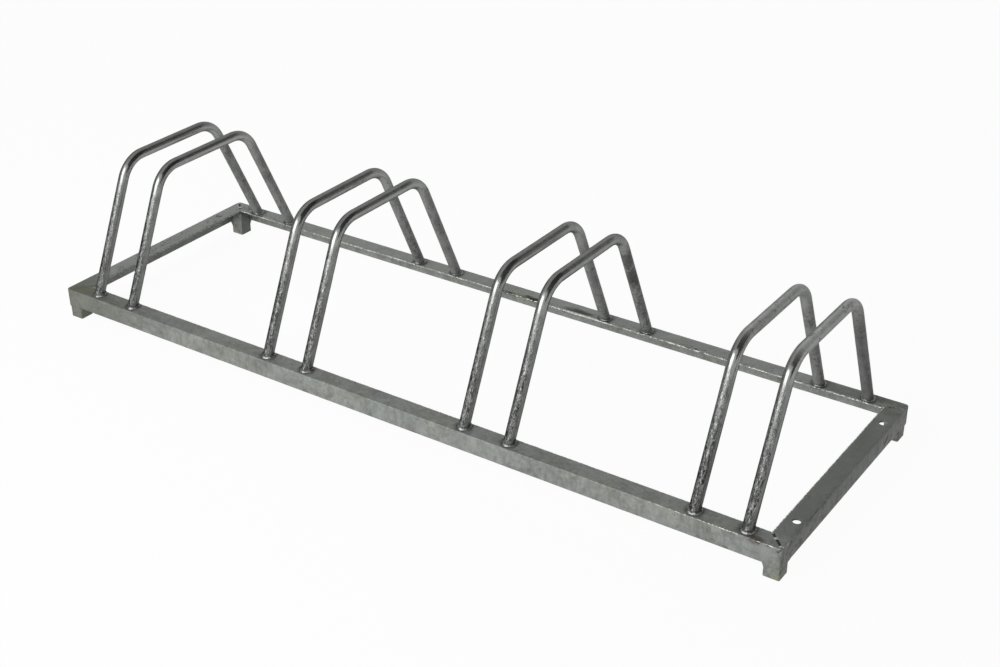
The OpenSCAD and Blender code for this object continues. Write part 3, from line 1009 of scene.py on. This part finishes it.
def gap_root(bm, sizes, choked):
    """Dross that closes the mitre gap from below, or zinc that fills it nearly flush where it is choked."""
    start, end = sizes.corner_radius * math.sqrt(2), (FLANGE - 0.2 * MM) * math.sqrt(2)
    low = RAIL_TOP - FLANGE_T - 0.4 * MM
    high = RAIL_TOP - (0.25 * MM if choked else FLANGE_T - 0.6 * MM)
    wide = sizes.mitre_gap * (1.0 if choked else 2.0)
    made = bmesh.ops.create_cube(bm, size=1, matrix=Matrix.Rotation(math.pi / 4, 4, "Z") @ Matrix.Translation(
        ((start + end) / 2, 0, (low + high) / 2)) @ Matrix.Diagonal((end - start, wide, high - low, 1)))
    bevelled(bm, edges_at(made["verts"]), 0.3 * MM, 2)


def tacks(bm, lumps, seed):
    """Domed weld lumps on the mitre line at the outer corner."""
    corner = Matrix.Translation((0, 0, RAIL_TOP)) @ Matrix.Rotation(math.pi / 4, 4, "Z")
    for along, across, half_sizes in lumps:
        place = corner @ Matrix.Translation((along * MM, across * MM, 0))
        size = Matrix.Diagonal((*(Vector(half_sizes) * MM), 1))
        for v in bmesh.ops.create_icosphere(bm, subdivisions=3, radius=1, matrix=place @ size)["verts"]:
            bump = noise.noise(v.co * 520 + Vector((seed * 3.0, 0, 0)))
            v.co += Vector((0.5, 0.4, 0.35)) * (bump * MM)


def foot_fillet(sizes):
    """Zinc covered fillet that slopes from the flanges' lower edges in to the foot's outer faces."""
    low, drop, end = RAIL_TOP - FLANGE, 9 * MM, FLANGE_T + FOOT_WIDTH - 0.4 * MM
    radius, wall = sizes.corner_radius, FLANGE_T + 1.6 * MM
    bm = bmesh.new()
    outline = [(0.35 * MM, low + 1.2 * MM), (0.0, low + 0.5 * MM)]
    for i in range(1, 10):
        t = i / 10
        outline.append((FLANGE_T * t * t * (3 - 2 * t), low + 0.5 * MM - drop * t))
    outline += [(FLANGE_T + 0.2 * MM, low - drop), (wall, low - drop), (wall, low + 1.2 * MM)]
    first = bm.faces.new([bm.verts.new((end, y, z)) for y, z in outline])

    def run(faces, direction, length, count):
        for _ in range(count):
            out = bmesh.ops.extrude_face_region(bm, geom=faces)["geom"]
            moved(bm, Vector(direction) * (length / count), parts(out, VERT))
            bmesh.ops.delete(bm, geom=[f for f in faces if f is not first], context="FACES_ONLY")
            faces = parts(out, FACE)
        return faces

    faces = run([first], (-1, 0, 0), end - radius, 6)
    turned = bmesh.ops.spin(bm, geom=faces, cent=(radius, radius, 0), axis=(0, 0, 1), angle=-math.pi / 2,
                            steps=8, use_duplicate=False)["geom_last"]
    bmesh.ops.delete(bm, geom=faces, context="FACES_ONLY")
    run(parts(turned, FACE), (0, 1, 0), end - radius, 6)
    bmesh.ops.remove_doubles(bm, verts=bm.verts, dist=0.001 * MM)
    # The ends follow the rounding of the foot's own edges
    rounding, start = radius - FLANGE_T, FLANGE_T + FOOT_WIDTH - (radius - FLANGE_T)
    for v in bm.verts:
        for near, far in ((0, 1), (1, 0)):
            past = v.co[far] - start
            if past > 0 and v.co[near] < wall - LEVEL:
                share = max(0.0, min(1.0, v.co[near] / FLANGE_T))
                v.co[near] += share * (rounding - math.sqrt(max(0.0, rounding ** 2 - past ** 2)))
    return bm


class RACK_OT_stage(bpy.types.Operator):
    """Builds the floor, the lamp, the world and the camera"""

    bl_idname = "rack.stage"
    bl_label = "Stage"

    def execute(self, context):
        build_floor(context.scene.rack_colours.floor)
        build_world()
        for card in CARDS:
            studio_card(*card)
        lamp = bpy.data.lights.new("key", "AREA")
        lamp.shape, lamp.energy, (lamp.size, lamp.size_y) = "RECTANGLE", KEY_POWER, KEY_SIZE
        key = linked("key", lamp)
        key.location = KEY_PLACE
        key.rotation_euler = (Vector(KEY_AIM) - Vector(KEY_PLACE)).to_track_quat("-Z", "Y").to_euler()
        key.visible_camera = False
        lens = bpy.data.cameras.new("photo_view")
        lens.lens, lens.sensor_width = CAMERA_LENS, CAMERA_SENSOR
        lens.clip_start, lens.clip_end = CAMERA_CLIP
        camera = linked("photo_view", lens)
        turn = Matrix(CAMERA_AXES).transposed().to_4x4()
        camera.matrix_world = Matrix.Translation(CAMERA_PLACE) @ turn
        context.scene.camera = camera
        context.scene.view_settings.view_transform = "Standard"
        return {"FINISHED"}


def stage_sheet(name, size, matrix):
    """A flat square of the stage with a material whose surface is still open: sheet, net and surface."""
    bm = bmesh.new()
    square(bm, size, matrix)
    sheet = linked(name, as_mesh(name, bm))
    material = bpy.data.materials.new(name)
    material.use_nodes = True
    nodes = material.node_tree.nodes
    nodes.remove(nodes["Principled BSDF"])
    sheet.data.materials.append(material)
    return sheet, Net(material.node_tree), nodes["Material Output"].inputs["Surface"]


def seen_directly(net):
    """One for the camera and in reflections, nothing for the rays that only bring light."""
    rays = net.node("ShaderNodeLightPath").outputs
    camera, glossy, through = (Value(net, rays[kind]) for kind in (
        "Is Camera Ray", "Is Glossy Ray", "Is Transmission Ray"))
    return net.highest(camera, net.highest(glossy, through))


def build_floor(grey):
    """Large pale floor that shows white to the camera and keeps the shadow."""
    _, net, surface = stage_sheet("studio_floor", FLOOR_REACH, Matrix.Identity(4))
    grain = net.noise(net.fill("ShaderNodeTexCoord", "Object"), 60.0, 3.0, 0.55)
    matte = net.fill("ShaderNodeBsdfDiffuse", 0, {"Color": net.shades(grain, grey, 0.985, 1.0)})
    glow = net.fill("ShaderNodeEmission", 0, {"Strength": 1.0})
    share = 0.95 * seen_directly(net)
    net.put(surface, net.fill("ShaderNodeMixShader", 0, {0: share, 1: matte, 2: glow}))


def studio_card(name, centre, half_sides, axis, grey):
    """A grey card of the studio, out of the camera's sight, that the metal and its faces see."""
    turn = Matrix.Rotation(math.pi / 2, 4, "Y") if axis == "X" else Matrix.Identity(4)
    card, net, surface = stage_sheet(name, 1, Matrix.Translation(centre) @ turn @ Matrix.Diagonal(
        (*half_sides, 1, 1)))
    card.visible_camera = card.visible_shadow = False
    net.put(surface, net.fill("ShaderNodeEmission", 0, {"Color": (grey, grey, grey), "Strength": 1.0}))


def build_world():
    """White to the camera and in reflections, a dimmer even light on the object."""
    world = bpy.data.worlds.new("studio")
    bpy.context.scene.world = world
    world.use_nodes = True
    net = Net(world.node_tree)
    back = world.node_tree.nodes["Background"].inputs
    net.put(back["Color"], (1, 1, 1))
    net.put(back["Strength"], 0.45 + 0.55 * seen_directly(net))


class RACK_PT_panel(bpy.types.Panel):
    """Lists the rack's sizes, colours and pieces"""

    bl_idname = "RACK_PT_panel"
    bl_label = "Bike rack"
    bl_space_type = "VIEW_3D"
    bl_region_type = "UI"
    bl_category = "Bike rack"

    def draw(self, context):
        for group in (context.scene.rack_sizes, context.scene.rack_colours):
            box = self.layout.box()
            for key in group.bl_rna.properties.keys():
                if key not in {"rna_type", "name"}:
                    box.prop(group, key)
        for step in STEPS:
            self.layout.operator(step.bl_idname)


STEPS = (RACK_OT_finishes, RACK_OT_long_rails, RACK_OT_end_rails, RACK_OT_feet, RACK_OT_hoops,
         RACK_OT_ring_welds, RACK_OT_corner_welds, RACK_OT_stage)
CLASSES = (RackSizes, RackColours, *STEPS, RACK_PT_panel)


def register():
    for cls in CLASSES:
        bpy.utils.register_class(cls)
    bpy.types.Scene.rack_sizes = PointerProperty(type=RackSizes)
    bpy.types.Scene.rack_colours = PointerProperty(type=RackColours)


def unregister():
    del bpy.types.Scene.rack_colours
    del bpy.types.Scene.rack_sizes
    for cls in reversed(CLASSES):
        bpy.utils.unregister_class(cls)


def main():
    register()
    bpy.ops.rack.finishes()
    bpy.ops.rack.long_rails()
    bpy.ops.rack.end_rails()
    bpy.ops.rack.feet()
    bpy.ops.rack.hoops()
    bpy.ops.rack.ring_welds()
    bpy.ops.rack.corner_welds()
    bpy.ops.rack.stage()


if __name__ == "__main__":
    main()
